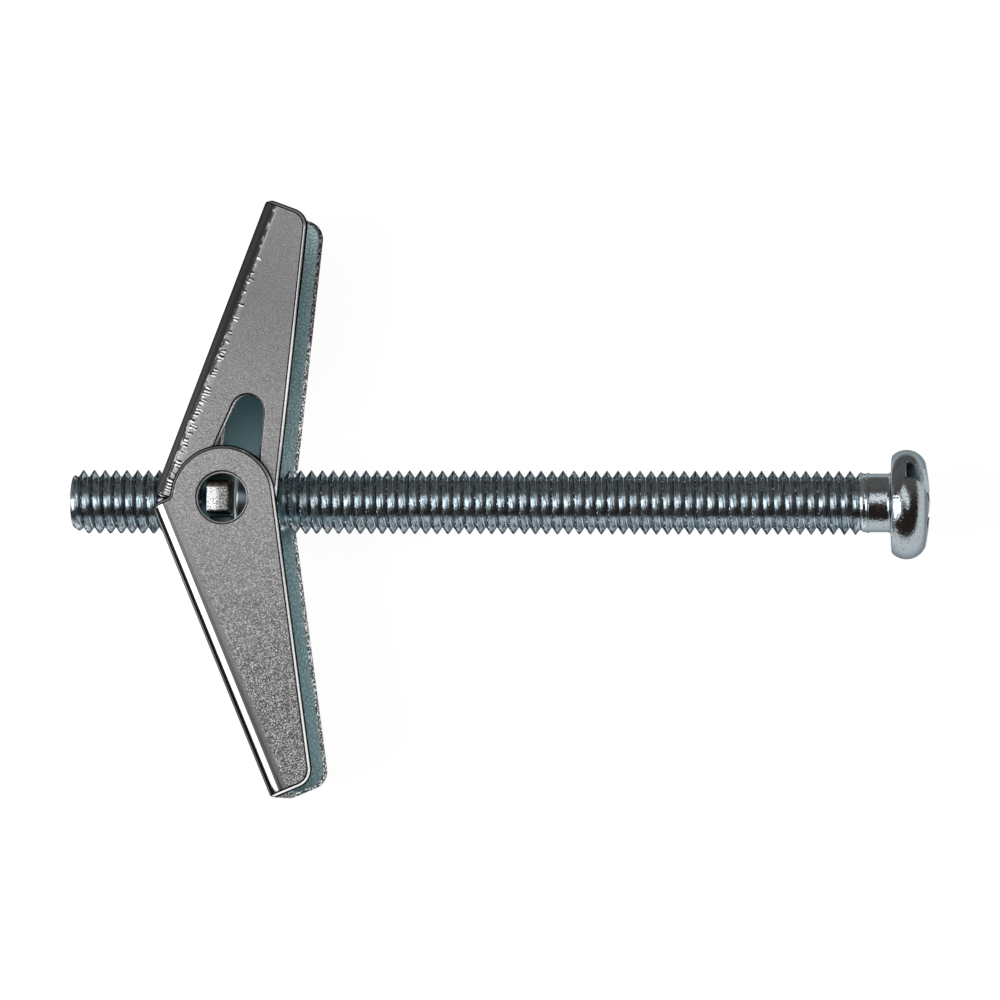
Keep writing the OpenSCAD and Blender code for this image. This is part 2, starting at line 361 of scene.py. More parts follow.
def thread_zinc():
    """Bright zinc on the rolled thread: streaks along it, a painted highlight in the roots, and torn crests.
    """
    material, tree, shader, place = plated_steel("thread_zinc", (0.08, 0.10, 0.11, 1))
    streak_w = 0.09 * MM
    grain_w = 0.2 * MM
    streak_length_share = 0.1
    streak_grey = (0.24, 0.27, 0.29, 1)
    root_highlight_white = (0.88, 0.95, 0.97, 1)
    seam_dark = (0.035, 0.03, 0.03, 1)
    fleck_white = (0.95, 0.95, 0.95, 1)
    x, y, z = add_node(tree, "SeparateXYZ", {0: place}).outputs
    radius = math_of(tree, "SQRT", plus(tree, times(tree, y, y), times(tree, z, z)))
    # Places on the thread, unrolled: across its turns, and along them at a share of their length
    turn = math_of(tree, "ARCTAN2", z, y)
    across = minus(tree, x, times(tree, turn, thread_pitch / (2 * math.pi)))
    along = times(tree, turn, streak_length_share * crest_r)
    unrolled = add_node(tree, "CombineXYZ", {0: across, 1: along}).outputs[0]
    streak = fine_noise(tree, unrolled, streak_w, 2)
    cloud = fine_noise(tree, place, screw_cloud_w, 3)
    grain = fine_noise(tree, place, grain_w, 2)
    rolled = mixed(tree, cloud, (0.62, 0.70, 0.75, 1), (0.70, 0.79, 0.84, 1))
    streaked = mixed(tree, in_range(tree, streak, 0.48, 0.60, 0, 0.75), rolled, streak_grey)
    # The roots are painted near white: a painted highlight along each root
    root = in_range(tree, radius, crest_r - 0.9 * thread_depth, crest_r - thread_depth)
    rooted = mixed(tree, times(tree, root, 0.7), streaked, root_highlight_white)
    # Where two folds of metal meet on a crest, the seam is torn: dark, with a few bright flecks
    seam = in_range(tree, radius, crest_r - 0.18 * thread_depth, crest_r - 0.05 * thread_depth)
    torn = mixed(tree, in_range(tree, grain, 0.58, 0.63), seam_dark, fleck_white)
    thread = mixed(tree, times(tree, seam, 0.94), rooted, torn)
    tree.links.new(thread, shader.inputs["Base Color"])
    tree.links.new(in_range(tree, cloud, 0.3, 0.7, 0.17, 0.25), shader.inputs["Roughness"])
    waves = plus(tree, times(tree, grain, 0.4), times(tree, cloud, 0.6))
    waves = plus(tree, waves, times(tree, streak, 0.6))
    dented(tree, shader, waves, screw_dent)
    return material


def head_zinc():
    """Bright zinc on the cold-headed end: bluish and glossy, a little uneven, with small pits."""
    material, tree, shader, place = plated_steel("head_zinc", (0.30, 0.33, 0.35, 1))
    grain_w = 0.17 * MM
    pit_w = 0.16 * MM
    pit_grey = (0.18, 0.20, 0.21, 1)
    cloud = fine_noise(tree, place, screw_cloud_w, 3)
    grain = fine_noise(tree, place, grain_w, 2)
    plain = mixed(tree, cloud, (0.37, 0.42, 0.45, 1), (0.45, 0.51, 0.54, 1))
    pit = in_range(tree, fine_noise(tree, place, pit_w, 1), 0.6, 0.68, 0, 0.6)
    tree.links.new(mixed(tree, pit, plain, pit_grey), shader.inputs["Base Color"])
    tree.links.new(in_range(tree, cloud, 0.3, 0.7, 0.09, 0.17), shader.inputs["Roughness"])
    waves = plus(tree, times(tree, grain, 0.6), times(tree, cloud, 0.4))
    dented(tree, shader, waves, screw_dent)
    return material


screw.data.materials.clear()
screw.data.materials.append(thread_zinc())
screw.data.materials.append(head_zinc())
for face in screw.data.polygons:
    face.material_index = int(face.center.x > thread_end_x)
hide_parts("machine_screw")
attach(screw, "screw")

# Trunnion nut: stamped from thick strip, with a lug sheared at each side for the wings to swing on,
# and a collar drawn out of the middle so that more thread can be tapped in it. Zinc plated.
nut_low, nut_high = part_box("trunnion_nut")
nut_t = 2.1 * MM
nut_len = nut_high.y - nut_low.y
nut_w = 7 * MM
nut_corner_r = 0.8 * MM
nut_edge_r = 0.34 * MM
nut_burr_r = 0.06 * MM
bore_edge_r = 0.08 * MM
lug_h = 2.6 * MM
lug_reach = nut_high.z
lug_corner_r = 0.3 * MM
lug_root_r = 0.35 * MM
# The shear rolled one end of each lug over, and spread it that way
lug_roll_r = 0.75 * MM
lug_spread = 0.4 * MM
bore_r = 2.95 * MM
bore_sides = 96
collar_r = 3.5 * MM
collar_lip_r = 0.2 * MM
collar_root_r = 0.3 * MM
# The collar's bore is this much smaller where it starts inside the strip
collar_step = 0.01 * MM
nut_mid_x = nut_low.x + nut_t / 2
nut_face_x = nut_low.x + nut_t


def rounded(radius):
    """A rounded edge as points (inset from the outline, drop below the face), from its wall to its face."""
    turns = [math.radians(t) for t in (90, 72, 54, 36, 18, 0)]
    return [(radius * (1 - math.sin(t)), radius * (1 - math.cos(t))) for t in turns]


def stamped_blank(cuts, thickness):
    """A flat sheet cut along closed outlines, the outer one counter-clockwise and holes clockwise.
    Each comes with its edges on the lower face and on the upper."""
    bm = bmesh.new()
    half = thickness / 2
    rims = [], []
    for outline, lower_edge, upper_edge in cuts:
        rows = [(inset, drop - half) for inset, drop in lower_edge[::-1]]
        rows += [(inset, half - drop) for inset, drop in upper_edge]
        points = np.array(outline)
        before = points - np.roll(points, 1, axis=0)
        after = np.roll(points, -1, axis=0) - points
        normals = [np.stack([-d[:, 1], d[:, 0]], 1) / np.linalg.norm(d, axis=1)[:, None]
                   for d in (before, after)]
        inward = sum(normals)
        inward *= 2 / (inward ** 2).sum(1)[:, None]
        rings = [[bm.verts.new((*p, h)) for p in points + inward * inset] for inset, h in rows]
        count = len(points)
        for lower, upper in zip(rings, rings[1:]):
            for i in range(count):
                j = (i + 1) % count
                bm.faces.new((lower[i], lower[j], upper[j], upper[i])).smooth = True
        for rim, ring in zip(rims, (rings[0], rings[-1])):
            rim += [bm.edges.get((ring[i], ring[(i + 1) % count])) for i in range(count)]
    for rim in rims:
        bmesh.ops.triangle_fill(bm, edges=rim, use_beauty=True)
    return bm


def nut_outline():
    """The strip nut seen along the screw: a round-cornered body with a lug above and below."""
    body_y, body_z = nut_len / 2, nut_w / 2

    def quarter(lug_y, corner_r):
        side = arc((body_y - nut_corner_r, body_z - nut_corner_r), nut_corner_r, 0, 90, 8)
        side += arc((lug_y + lug_root_r, body_z + lug_root_r), lug_root_r, -90, -180, 5)
        return side + arc((lug_y - corner_r, lug_reach - corner_r), corner_r, 0, 90, 8)

    rolled = quarter(lug_h / 2 + lug_spread, lug_roll_r)
    sharp = quarter(lug_h / 2, lug_corner_r)
    upper = rolled + [(-y, z) for y, z in sharp[::-1]]
    return upper + [(-y, -z) for y, z in upper]


nut_bore = arc((0, 0), bore_r, 360, 360 / bore_sides, bore_sides - 1)
nut_bm = stamped_blank([
    (nut_outline(), rounded(nut_burr_r), rounded(nut_edge_r)),
    (nut_bore, rounded(bore_edge_r), rounded(bore_edge_r)),
], nut_t)
# The blank lies in Y and Z, with its thickness along the screw
upright_blank = Matrix(((0, 0, 1, 0), (1, 0, 0, 0), (0, 1, 0, 0), (0, 0, 0, 1)))
stand = Matrix.Translation((nut_mid_x, 0, 0)) @ upright_blank
bmesh.ops.transform(nut_bm, matrix=stand, verts=nut_bm.verts)
nut = new_piece("nut", nut_bm)


def collar_ring():
    """The drawn collar as a ring that starts inside the strip, with a rounded mouth and root."""
    inside_x = nut_face_x - bore_edge_r
    root_mid = (nut_face_x + collar_root_r, collar_r + collar_root_r)
    lip_x = nut_high.x - collar_lip_r
    return (
        [(inside_x, bore_r - collar_step), (inside_x, collar_r + collar_root_r)]
        + arc(root_mid, collar_root_r, 180, 270, 5)
        + arc((lip_x, collar_r - collar_lip_r), collar_lip_r, 90, 0, 4)
        + arc((lip_x, bore_r + collar_lip_r), collar_lip_r, 0, -90, 4)
    )


collar_bm = bmesh.new()
collar_rings = add_lathe(collar_bm, collar_ring(), bore_sides)
first_ring, last_ring = collar_rings[0], collar_rings[-1]
for i in range(bore_sides):
    j = (i + 1) % bore_sides
    collar_bm.faces.new((last_ring[i], first_ring[i], first_ring[j], last_ring[j])).smooth = True
combine(nut, new_piece("collar", collar_bm), "UNION")


def nut_zinc():
    """Zinc darkened as painted shade where the nut lies deep in the wings' holes, a painted highlight on the
    collar's root, and torn bright steel where the lugs were sheared off the strip.
    """
    material, tree, shader, place = plated_steel("nut_zinc", (0.3, 0.3, 0.3, 1))
    cloud_w = 0.8 * MM
    tear_w = 0.15 * MM
    dent = 0.05 * MM
    fillet_highlight_white = (0.90, 0.94, 0.95, 1)
    x, y, z = add_node(tree, "SeparateXYZ", {0: place}).outputs
    reach = math_of(tree, "ABSOLUTE", z)
    torn = in_range(tree, reach, lug_reach - 0.15 * MM, lug_reach - 0.05 * MM)
    # The rolled end of each lug is scaled brown
    rolled_side = times(tree, y, math_of(tree, "SIGN", z))
    scaled = times(tree, in_range(tree, reach, lug_reach - 0.9 * MM, lug_reach - 0.7 * MM),
                   in_range(tree, rolled_side, lug_h / 2 - 0.4 * MM, lug_h / 2 - 0.25 * MM))
    # A painted highlight: the fillet at the collar's root is painted white
    burnished = times(tree, in_range(tree, x, nut_face_x + 0.36 * MM, nut_face_x + 0.3 * MM),
                      in_range(tree, x, nut_face_x, nut_face_x + 0.06 * MM))
    cloud = fine_noise(tree, place, cloud_w, 3)
    tear = fine_noise(tree, place, tear_w, 3)
    # The plate is zinc, darkened as painted shade for the nut deep in the wings' holes
    plate = mixed(tree, cloud, (0.11, 0.15, 0.165, 1), (0.22, 0.27, 0.285, 1))
    plate = mixed(tree, burnished, plate, fillet_highlight_white)
    # The shear first cut the lug bright, then broke it off grey
    broken = in_range(tree, x, nut_mid_x - 0.25 * MM, nut_mid_x + 0.15 * MM)
    bright = mixed(tree, in_range(tree, tear, 0.38, 0.46), (0.16, 0.155, 0.15, 1), (1.0, 1.0, 1.0, 1))
    dull = mixed(tree, in_range(tree, tear, 0.42, 0.58), (0.10, 0.10, 0.10, 1), (0.62, 0.61, 0.60, 1))
    steel = mixed(tree, broken, bright, dull)
    scale = mixed(tree, in_range(tree, tear, 0.42, 0.62), (0.045, 0.035, 0.028, 1), (0.20, 0.17, 0.15, 1))
    lug = mixed(tree, scaled, steel, scale)
    sheared = math_of(tree, "MAXIMUM", torn, scaled)
    tree.links.new(mixed(tree, sheared, plate, lug), shader.inputs["Base Color"])
    tree.links.new(in_range(tree, sheared, 0, 1, 0.3, 0.36), shader.inputs["Roughness"])
    rough = times(tree, tear, sheared)
    dented(tree, shader, plus(tree, rough, times(tree, cloud, 0.3)), dent)
    return material


nut.data.materials.clear()
nut.data.materials.append(nut_zinc())
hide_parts("trunnion_nut")
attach(nut, "nut")

# Torsion spring: one hard-drawn wire wound twice round the nut's far lug, plated after winding.
# Its upper leg bears on the upper wing's web, and its lower leg on the side of the lower wing's window.
open_lean = 21.7
pair_rock = 1.2
upper_lean = open_lean - pair_rock
lower_lean = open_lean + pair_rock
sheet_t = 1.2 * MM
web_out = 6.3 * MM
window_r = 2.7 * MM
window_end_r = 1.4 * MM
window_mid = (8.1 * MM, -0.83 * MM)
window_turn = math.atan2(window_mid[1], window_mid[0])
window_spread = math.acos((window_r - window_end_r) / math.hypot(*window_mid))
wire_r = 0.26 * MM
wire_end_r = 0.12 * MM
wire_clear = 0.05 * MM
wire_sides = 16
coil_r = 1.85 * MM + wire_r
coil_mid = np.array((-0.2 * MM, 0))
coil_turns = 2
coil_z = -nut_w / 2 - wire_clear - wire_r
coil_end_z = coil_z - coil_turns * (2 * wire_r + wire_clear / 2)
upper_leg_reach = 9.5 * MM
lower_leg_reach = 7.8 * MM


def wing_place(u, v, lean, side):
    """Where a point at length u and depth v of an open wing lies; side is 1 for the upper wing."""
    lean = math.radians(lean)
    return np.array((
        u * math.sin(lean) + v * math.cos(lean),
        side * (u * math.cos(lean) - v * math.sin(lean)),
    ))


def leg_turn(end, side):
    """The turn, in degrees, at which a straight leg leaves the coil for its end."""
    away = end - coil_mid
    way = math.atan2(away[1], away[0])
    return math.degrees(way + side * math.acos(coil_r / np.linalg.norm(away)))


def spring_route():
    """The middle of the wire, from the end of the upper leg round the coil to the end of the lower leg."""
    upper_end = wing_place(upper_leg_reach, wire_r + wire_clear - web_out + sheet_t, upper_lean, 1)
    side = window_turn - window_spread
    depth = (window_r - wire_r - wire_clear - lower_leg_reach * math.cos(side)) / math.sin(side)
    lower_end = wing_place(lower_leg_reach, depth, lower_lean, -1)
    first = leg_turn(upper_end, 1)
    last = leg_turn(lower_end, -1) + 360 * (coil_turns + 1)
    steps = 60 * coil_turns
    coil = [coil_mid + p for p in np.array(arc((0, 0), coil_r, first, last, steps))]
    heights = np.linspace(coil_z, coil_end_z, steps + 1)
    leg_shares = np.linspace(0, 1, 12)[:-1]
    route = [(*(upper_end + (coil[0] - upper_end) * s), coil_z) for s in leg_shares]
    route += [(*p, z) for p, z in zip(coil, heights)]
    route += [(*(lower_end + (coil[-1] - lower_end) * s), coil_end_z) for s in leg_shares[::-1]]
    return np.array(route)


def wire_piece(name, route):
    """A round wire along a route, with a slightly rounded first end."""
    ways = np.gradient(route, axis=0)
    ways /= np.linalg.norm(ways, axis=1)[:, None]
    across = np.cross(ways, (0, 0, 1))
    across /= np.linalg.norm(across, axis=1)[:, None]
    upward = np.cross(across, ways)
    end_turns = np.radians((90, 60, 30, 0))
    start = [route[0] + ways[0] * (wire_end_r * (1 - math.sin(t))) for t in end_turns]
    start_radii = [wire_r - wire_end_r * (1 - math.cos(t)) for t in end_turns]
    radii = np.concatenate([start_radii, np.full(len(route) - 1, wire_r)])
    route = np.concatenate([start, route[1:]])
    across = np.concatenate([[across[0]] * len(start), across[1:]])
    upward = np.concatenate([[upward[0]] * len(start), upward[1:]])
    bm = bmesh.new()
    turns = [2 * math.pi * i / wire_sides for i in range(wire_sides)]
    rings = []
    for p, a, u, r in zip(route, across, upward, radii):
        rings.append([bm.verts.new(p + r * (a * math.cos(t) + u * math.sin(t))) for t in turns])
    for lower, upper in zip(rings, rings[1:]):
        for i in range(wire_sides):
            j = (i + 1) % wire_sides
            bm.faces.new((lower[i], lower[j], upper[j], upper[i])).smooth = True
    bm.faces.new(rings[0])
    bm.faces.new(rings[-1][::-1])
    return new_piece(name, bm)


def spring_wire():
    """Drawn wire: bright, and clouded where the plating is uneven."""
    material, tree, shader, place = plated_steel("spring_wire", (0.4, 0.4, 0.4, 1))
    cloud_w = 0.35 * MM
    dent = 0.01 * MM
    cloud = fine_noise(tree, place, cloud_w, 3)
    plate = mixed(tree, cloud, (0.44, 0.47, 0.46, 1), (0.62, 0.64, 0.62, 1))
    tree.links.new(plate, shader.inputs["Base Color"])
    tree.links.new(in_range(tree, cloud, 0.3, 0.7, 0.16, 0.30), shader.inputs["Roughness"])
    dented(tree, shader, cloud, dent)
    return material


wire_route = spring_route()
wire_middle = len(wire_route) // 2
wire_finish = spring_wire()
upper_spring = wire_piece("spring_upper_half", wire_route[:wire_middle + 1])
lower_spring = wire_piece("spring_lower_half", wire_route[:wire_middle - 1:-1])
for half_spring, wing, leg_z in (
    (upper_spring, "upper_wing", coil_z),
    (lower_spring, "lower_wing", coil_end_z),
):
    half_spring.data.materials.append(wire_finish)
    half_spring.data.set_sharp_from_angle(angle=sharp_turn)
    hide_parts("torsion_spring")
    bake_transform(half_spring)

# Wings: one stamping used twice. A tapered blank is sheared from sheet with a round hole in one ear and
# a window in the other, folded into a channel, zinc plated, and hung on the nut's lugs.
wing_edge_r = 0.25 * MM
wing_edge_turn = math.radians(54)
wing_edge_w = 0.34 * MM
hole_edge_r = 0.3 * MM
window_edge_r = 0.3 * MM
wing_half_w = 6 * MM
bend_r = 1.25 * MM
bend_steps = 12
wing_len = 26.8 * MM
tip_depth = 4.2 * MM
tip_r = 1.7 * MM
ear_r = 4.8 * MM
ear_gap = 0.1 * MM
stop_gap = 0.1 * MM
horn_fillet_r = 0.5 * MM
hole_r = 2.2 * MM
hole_sides = 72
notch_r = 3.5 * MM
notch_reach = 2 * MM
fold_dist = 1e-5 * MM
side_step = (sheet_t + ear_gap) / 2
web_half = wing_half_w - bend_r
bend_mid_r = bend_r - sheet_t / 2
bend_run = bend_mid_r * math.pi / 2
flange_foot = web_half + bend_run
# A strip beside each bend that keeps the flat faces flat up to it
bend_rim = 0.2 * MM
# A flange's depth counts from the wing's axis, and the blank's width from the middle of the web
depth_to_width = flange_foot + web_out - bend_r


def half_blank():
    """One side of the blank's outline as (length, width), from the notch round the ear to the tip."""
    web_in = web_out - sheet_t
    lean = math.radians(open_lean)
    horn_end = -(web_in * math.sin(lean) - stop_gap / 2) / math.cos(lean)
    tip_edge = tip_depth - web_out
    free_turn = math.atan2(tip_edge, wing_len) + math.acos(ear_r / math.hypot(wing_len, tip_edge))
    tip_mid_u = wing_len - tip_r
    tip_mid = (tip_mid_u, (ear_r - tip_r - tip_mid_u * math.cos(free_turn)) / math.sin(free_turn))
    fillet_u = horn_end - horn_fillet_r
    fillet_mid = (fillet_u, -math.sqrt((ear_r + horn_fillet_r) ** 2 - fillet_u ** 2))
    ear_turn = math.degrees(math.atan2(fillet_mid[1], fillet_mid[0])) + 360
    free_turn = math.degrees(free_turn)
    notch = arc((notch_reach - notch_r, 0), notch_r, 0, 90, 14)[1:]
    flange = arc(fillet_mid, horn_fillet_r, 0, ear_turn - 180, 6)
    flange += arc((0, 0), ear_r, ear_turn, free_turn, 40)[1:]
    flange += arc(tip_mid, tip_r, free_turn, 0, 10)
    web = [(horn_end, notch_r), (horn_end, web_half)]
    return notch + web + [(u, v + depth_to_width) for u, v in flange]


def rolled_edge():
    """The wing's outer edge, which the shear rolled over: a slope that is rounded at both ends."""
    slope_in = wing_edge_w * math.cos(wing_edge_turn)
    slope_down = wing_edge_w * math.sin(wing_edge_turn)
    slope_drop = 0.45 * wing_edge_r
    points = rounded(wing_edge_r)
    steep = [(inset, drop + slope_down) for inset, drop in points if drop > slope_drop]
    flat = [(inset + slope_in, drop) for inset, drop in points if drop < slope_drop]
    return steep + flat


def wing_outlines():
    """The whole blank, with the round hole on its positive side and the window on the other."""
    half = half_blank()
    outer = half + [(u, -s) for u, s in half[::-1]] + [(notch_reach, 0)]
    hole = arc((0, depth_to_width), hole_r, 360, 360 / hole_sides, hole_sides - 1)
    low = math.degrees(window_turn - window_spread)
    high = math.degrees(window_turn + window_spread)
    window = arc((0, 0), window_r, high, low + 360, 32)
    window += arc(window_mid, window_end_r, low, high, 20)
    window = [(u, -(v + depth_to_width)) for u, v in window]
    edges = (rolled_edge(), rounded(hole_edge_r), rounded(window_edge_r))
    return [(points, edge, edge) for points, edge in zip((outer[::-1], hole, window), edges)]


def folded(points):
    """The blank's points (length, width, height on the sheet) bent into the channel."""
    u, s, h = points.T
    side = np.sign(s)
    width = np.abs(s)
    turn = np.clip((width - web_half) / bend_mid_r, 0, math.pi / 2)
    past = np.maximum(width - flange_foot, 0)
    out = bend_mid_r + h
    v = bend_r - web_out - out * np.cos(turn) + past
    z = np.minimum(width, web_half) + out * np.sin(turn)
    return np.stack([u, v, side * z + side_step], axis=1)


def wing_piece(name, turn):
    """A folded wing, turned to its place, that remembers where each point lay on the blank."""
    bm = stamped_blank(wing_outlines(), sheet_t)
    bend_from = web_half - bend_rim
    bend_to = flange_foot + bend_rim
    for side in (-1, 1):
        for width in (bend_from, *np.linspace(web_half, flange_foot, bend_steps + 1), bend_to):
            bmesh.ops.bisect_plane(bm, geom=bm.verts[:] + bm.edges[:] + bm.faces[:], dist=fold_dist,
                                   plane_co=(0, side * width, 0), plane_no=(0, 1, 0))
    for face in bm.faces:
        face.smooth = face.smooth or bend_from < abs(face.calc_center_median().y) < bend_to
    blank = np.array([v.co for v in bm.verts])
    for vert, place in zip(bm.verts, folded(blank)):
        vert.co = turn @ Vector(place)
    piece = new_piece(name, bm)
    memory = piece.data.attributes.new("blank", "FLOAT_VECTOR", "POINT")
    memory.data.foreach_set("vector", blank.astype(np.float32).ravel())
    return piece


painted_dark_line = (0.04, 0.04, 0.04, 1)
speck_and_shade_black = (0.03, 0.03, 0.033, 1)
bare_and_highlight_white = (1.0, 1.0, 1.0, 1)


def flat_faces(tree, cloud, grain, length, beside, ear_grain, tip_grain):
    """The outer colour, which darkens to the tip as painted shade and is specked by its grain, and how grainy
    it is.
    """
    to_tip = in_range(tree, length, 2 * MM, 18 * MM)
    # A strip beside the bend stays plain
    grained = times(tree, in_range(tree, beside, 0.3 * MM, 0.8 * MM),
                    in_range(tree, to_tip, 0, 1, ear_grain, tip_grain))
    # Painted shade: the flat faces darken from the ear to the tip
    at_ear = mixed(tree, cloud, (0.45, 0.453, 0.465, 1), (0.52, 0.523, 0.535, 1))
    at_tip = mixed(tree, cloud, (0.26, 0.262, 0.272, 1), (0.31, 0.312, 0.322, 1))
    speckle = mixed(tree, in_range(tree, grain, 0.43, 0.62), speck_and_shade_black, (0.62, 0.62, 0.62, 1))
    return mixed(tree, grained, mixed(tree, to_tip, at_ear, at_tip), speckle), grained


def die_marks(tree, place, grain, length, beside, share, colour):
    """What the folding die left on the bend, with painted highlight and shade on its scores and painted shade
    in a crease: the marked colour, and where it scored and scuffed it.
    """
    stroke_step = 0.3 * MM
    wander_w = 0.4 * MM
    crowd_w = 0.9 * MM
    crease_w = 0.14 * MM
    crease_gap_w = 0.5 * MM
    # In each step along the bend a bright stroke lies beside a dark one: the scores' painted highlight and
    # painted shade
    wander = times(tree, minus(tree, fine_noise(tree, place, wander_w, 1), 0.5), stroke_step)
    score_step = math_of(tree, "DIVIDE", plus(tree, length, wander), stroke_step)
    chance = add_node(tree, "TexWhiteNoise", {"W": math_of(tree, "FLOOR", score_step)}, noise_dimensions="1D")
    start_chance, reach_chance = add_node(tree, "SeparateColor", {0: chance.outputs["Color"]}).outputs[:2]
    strip = in_range(tree, length, 6 * MM, 13 * MM, -0.27 * MM, -0.1 * MM)
    start = plus(tree, strip, in_range(tree, start_chance, 0, 1, 0.05 * MM, 0.25 * MM))
    reach = plus(tree, start, in_range(tree, reach_chance, 0, 1, 0.25 * MM, 0.65 * MM))
    near = times(tree, math_of(tree, "GREATER_THAN", beside, start),
                 math_of(tree, "LESS_THAN", beside, reach))
    crowd = fine_noise(tree, add_node(tree, "CombineXYZ", {0: length}).outputs[0], crowd_w, 1)
    density = times(tree, in_range(tree, crowd, 0.4, 0.55, 0.1, 1),
                    in_range(tree, length, 22 * MM, 7 * MM, 0.15 * share, share))
    score = times(tree, near, math_of(tree, "LESS_THAN", chance.outputs["Value"], density))
    second = math_of(tree, "GREATER_THAN", math_of(tree, "FRACT", score_step), 0.5)
    score_highlight_and_shade = mixed(tree, second, bare_and_highlight_white, speck_and_shade_black)
    # The die also scuffed the part of the bend that the scores cross
    past_strip = math_of(tree, "GREATER_THAN", beside, strip)
    crossed = times(tree, past_strip, in_range(tree, beside, 0.5 * MM, 0.1 * MM))
    scuffed = times(tree, crossed, in_range(tree, length, 21 * MM, 13 * MM, 0.3 * share, share))
    scuff = mixed(tree, in_range(tree, grain, 0.42, 0.58), (0.14, 0.14, 0.15, 1), (0.72, 0.73, 0.73, 1))
    colour = mixed(tree, times(tree, scuffed, 0.6), colour, scuff)
    colour = mixed(tree, score, colour, score_highlight_and_shade)
    # and a broken dark line where they start: painted shade in the crease
    crease_shade = times(tree, past_strip, math_of(tree, "LESS_THAN", beside, plus(tree, strip, crease_w)))
    broken = in_range(tree, fine_noise(tree, place, crease_gap_w, 1), 0.4, 0.48, 0, share)
    return mixed(tree, times(tree, crease_shade, broken), colour, (0.02, 0.02, 0.02, 1)), score, scuffed


def inner_faces(tree, blank, cloud, grain, length, beside, inner):
    """The inside's bluer plate with white specks towards the free edge: its colour, their relief and
    where they are."""
    speck_gap = 0.3 * MM
    speck_white = (0.80, 1.0, 1.0, 1)
    free_edge = in_range(tree, length, 0, wing_len, 2 * ear_r, tip_depth - bend_r)
    specked = in_range(tree, minus(tree, free_edge, beside), 2.4 * MM, 1.9 * MM)
    cells = add_node(tree, "TexVoronoi", {"Vector": blank, "Scale": 1 / speck_gap}, voronoi_dimensions="2D")
    dome = times(tree, times(tree, inner, specked), in_range(tree, cells.outputs["Distance"], 0.4, 0.05))
    speck = in_range(tree, dome, 0.3, 0.5)
    plate = mixed(tree, cloud, (0.34, 0.53, 0.57, 1), (0.50, 0.69, 0.73, 1))
    frosted = times(tree, in_range(tree, grain, 0.42, 0.62, 0, 0.6), specked)
    return mixed(tree, math_of(tree, "MAXIMUM", speck, frosted), plate, speck_white), dome, speck


def cut_edges(tree, place, depth, outer_colour, inner_colour):
    """The sheet's colours outside and inside with its cut edges, and where those are.
    An edge on the outside has a painted highlight between two painted dark lines, a painted dark reflection
    at its rim and painted shade down its wall, and is torn on the inside."""
    tear_w = 0.2 * MM
    edge = in_range(tree, depth, 0.455 * sheet_t, 0.44 * sheet_t)
    # Painted dark reflection at the rim, then a painted white highlight, then painted shade down the wall
    line = times(tree, in_range(tree, depth, 0.498 * sheet_t, 0.49 * sheet_t), minus(tree, 1.0, edge))
    outer_colour = mixed(tree, line, outer_colour, painted_dark_line)
    middle = in_range(tree, depth, 0.29 * sheet_t, 0.25 * sheet_t)
    outer_colour = mixed(tree, edge, outer_colour, mixed(tree, middle, (0.98, 0.98, 0.98, 1), painted_dark_line))
    tear = in_range(tree, fine_noise(tree, place, tear_w, 1), 0.52, 0.58)
    inner_edge = mixed(tree, tear, (0.10, 0.13, 0.14, 1), bare_and_highlight_white)
    return outer_colour, mixed(tree, edge, inner_colour, inner_edge), edge


def wing_zinc(name, score_share, ear_grain, tip_grain):
    """Satin zinc on rolled sheet: grain that changes to the tip, die scores on the bend, cut edges that
    are bright outside and torn inside, and a bluer, specked inside."""
    material, tree, shader, place = plated_steel(name, (0.10, 0.095, 0.095, 1))
    cloud_w = 2.5 * MM
    grain_w = 0.11 * MM
    dent = 0.05 * MM
    blank = add_node(tree, "Attribute", attribute_name="blank").outputs["Vector"]
    length, width, height = add_node(tree, "SeparateXYZ", {0: blank}).outputs
    outer = math_of(tree, "GREATER_THAN", height, 0.0)
    inner = minus(tree, 1.0, outer)
    depth = math_of(tree, "ABSOLUTE", height)
    beside = minus(tree, math_of(tree, "ABSOLUTE", width), flange_foot)
    cloud = fine_noise(tree, place, cloud_w, 3)
    grain = fine_noise(tree, place, grain_w, 2)
    outside, grained = flat_faces(tree, cloud, grain, length, beside, ear_grain, tip_grain)
    outside, score, scuffed = die_marks(tree, place, grain, length, beside, score_share, outside)
    inside, dome, speck = inner_faces(tree, blank, cloud, grain, length, beside, inner)
    outside, inside, edge = cut_edges(tree, place, depth, outside, inside)
    tree.links.new(mixed(tree, outer, inside, outside), shader.inputs["Base Color"])

    burnished = times(tree, in_range(tree, beside, 0.2 * MM, 0),
                      in_range(tree, beside, -bend_run - 0.3 * MM, -bend_run))
    satin = mixed_value(tree, burnished, 0.27, 0.09)
    satin = mixed_value(tree, scuffed, satin, 0.42)
    satin = mixed_value(tree, edge, satin, 0.2)
    dull = mixed_value(tree, speck, 0.5, 0.4)
    tree.links.new(mixed_value(tree, outer, dull, satin), shader.inputs["Roughness"])

    # The hole's edge is made less metallic, so that its painted white edge shows all round as a painted
    # highlight
    from_hole = plus(tree, times(tree, length, length),
                     math_of(tree, "POWER", minus(tree, width, depth_to_width), 2.0))
    at_hole = math_of(tree, "LESS_THAN", from_hole, (1.3 * hole_r) ** 2)
    hole_highlight = times(tree, times(tree, edge, at_hole), 0.6)
    tree.links.new(minus(tree, 1.0, hole_highlight), shader.inputs["Metallic"])

    relief = times(tree, grain, plus(tree, grained, times(tree, scuffed, 0.6)))
    relief = plus(tree, relief, times(tree, dome, 0.25))
    dented(tree, shader, minus(tree, relief, times(tree, score, 0.5)), dent)
    return material


